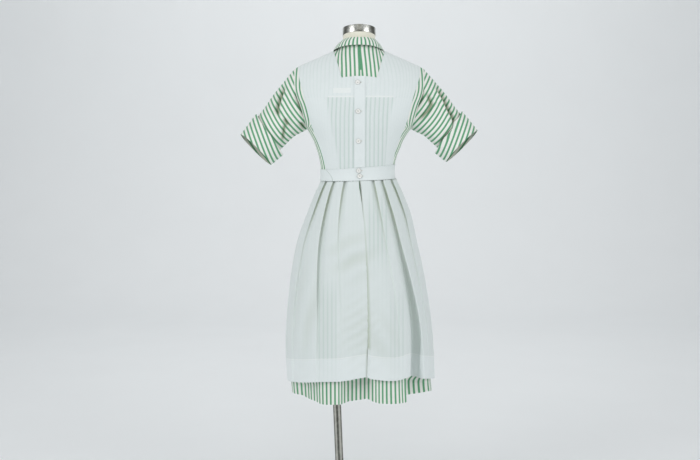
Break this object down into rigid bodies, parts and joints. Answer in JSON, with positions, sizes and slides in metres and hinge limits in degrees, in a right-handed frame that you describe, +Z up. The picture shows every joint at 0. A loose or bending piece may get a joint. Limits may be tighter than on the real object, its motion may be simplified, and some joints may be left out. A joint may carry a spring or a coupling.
{
  "type": "nurse uniform dress on a dress form",
  "caption": "Short-sleeved striped nurse uniform dress under a white pinafore apron with a pleated skirt, on a limbless dress form with a pole stand.",
  "frame": {"origin": "middle of the underside of the stand's round base, on the floor", "axes": "+Z up; the garment's back faces -Y and its front faces +Y; +X is the wearer's right"},
  "size_m": [0.7083, 0.3655, 1.4699],
  "materials": {
    "striped_cotton": "matt woven cotton with green and white stripes",
    "white_lawn": "matt, slightly sheer white lawn",
    "button_shell": "soft gloss",
    "form_canvas": "matt cream canvas",
    "chrome": "polished",
    "steel": "satin"
  },
  "bodies": {
    "root": {"dress_back_left": "striped_cotton", "dress_back_right": "striped_cotton", "dress_front_left": "striped_cotton", "dress_front_right": "striped_cotton", "dress_sleeve_left": "striped_cotton", "dress_sleeve_right": "striped_cotton", "dress_cuff_left": "striped_cotton", "dress_cuff_right": "striped_cotton", "dress_collar": "striped_cotton", "dress_skirt_back": "striped_cotton", "dress_skirt_front": "striped_cotton", "apron_back_left": "white_lawn", "apron_back_right": "white_lawn", "apron_placket": "white_lawn", "apron_bib": "white_lawn", "apron_band_back_left": "white_lawn", "apron_band_back_right": "white_lawn", "apron_band_front": "white_lawn", "apron_skirt_left": "white_lawn", "apron_skirt_right": "white_lawn", "apron_skirt_front": "white_lawn", "apron_button_1": "button_shell", "apron_button_2": "button_shell", "apron_button_3": "button_shell", "apron_button_4": "button_shell", "apron_button_5": "button_shell", "dress_button_1": "button_shell", "dress_button_2": "button_shell", "form_torso": "form_canvas", "form_neck_cap": "chrome", "stand_pole": "steel", "stand_base": "steel"}
  },
  "joints": []
}
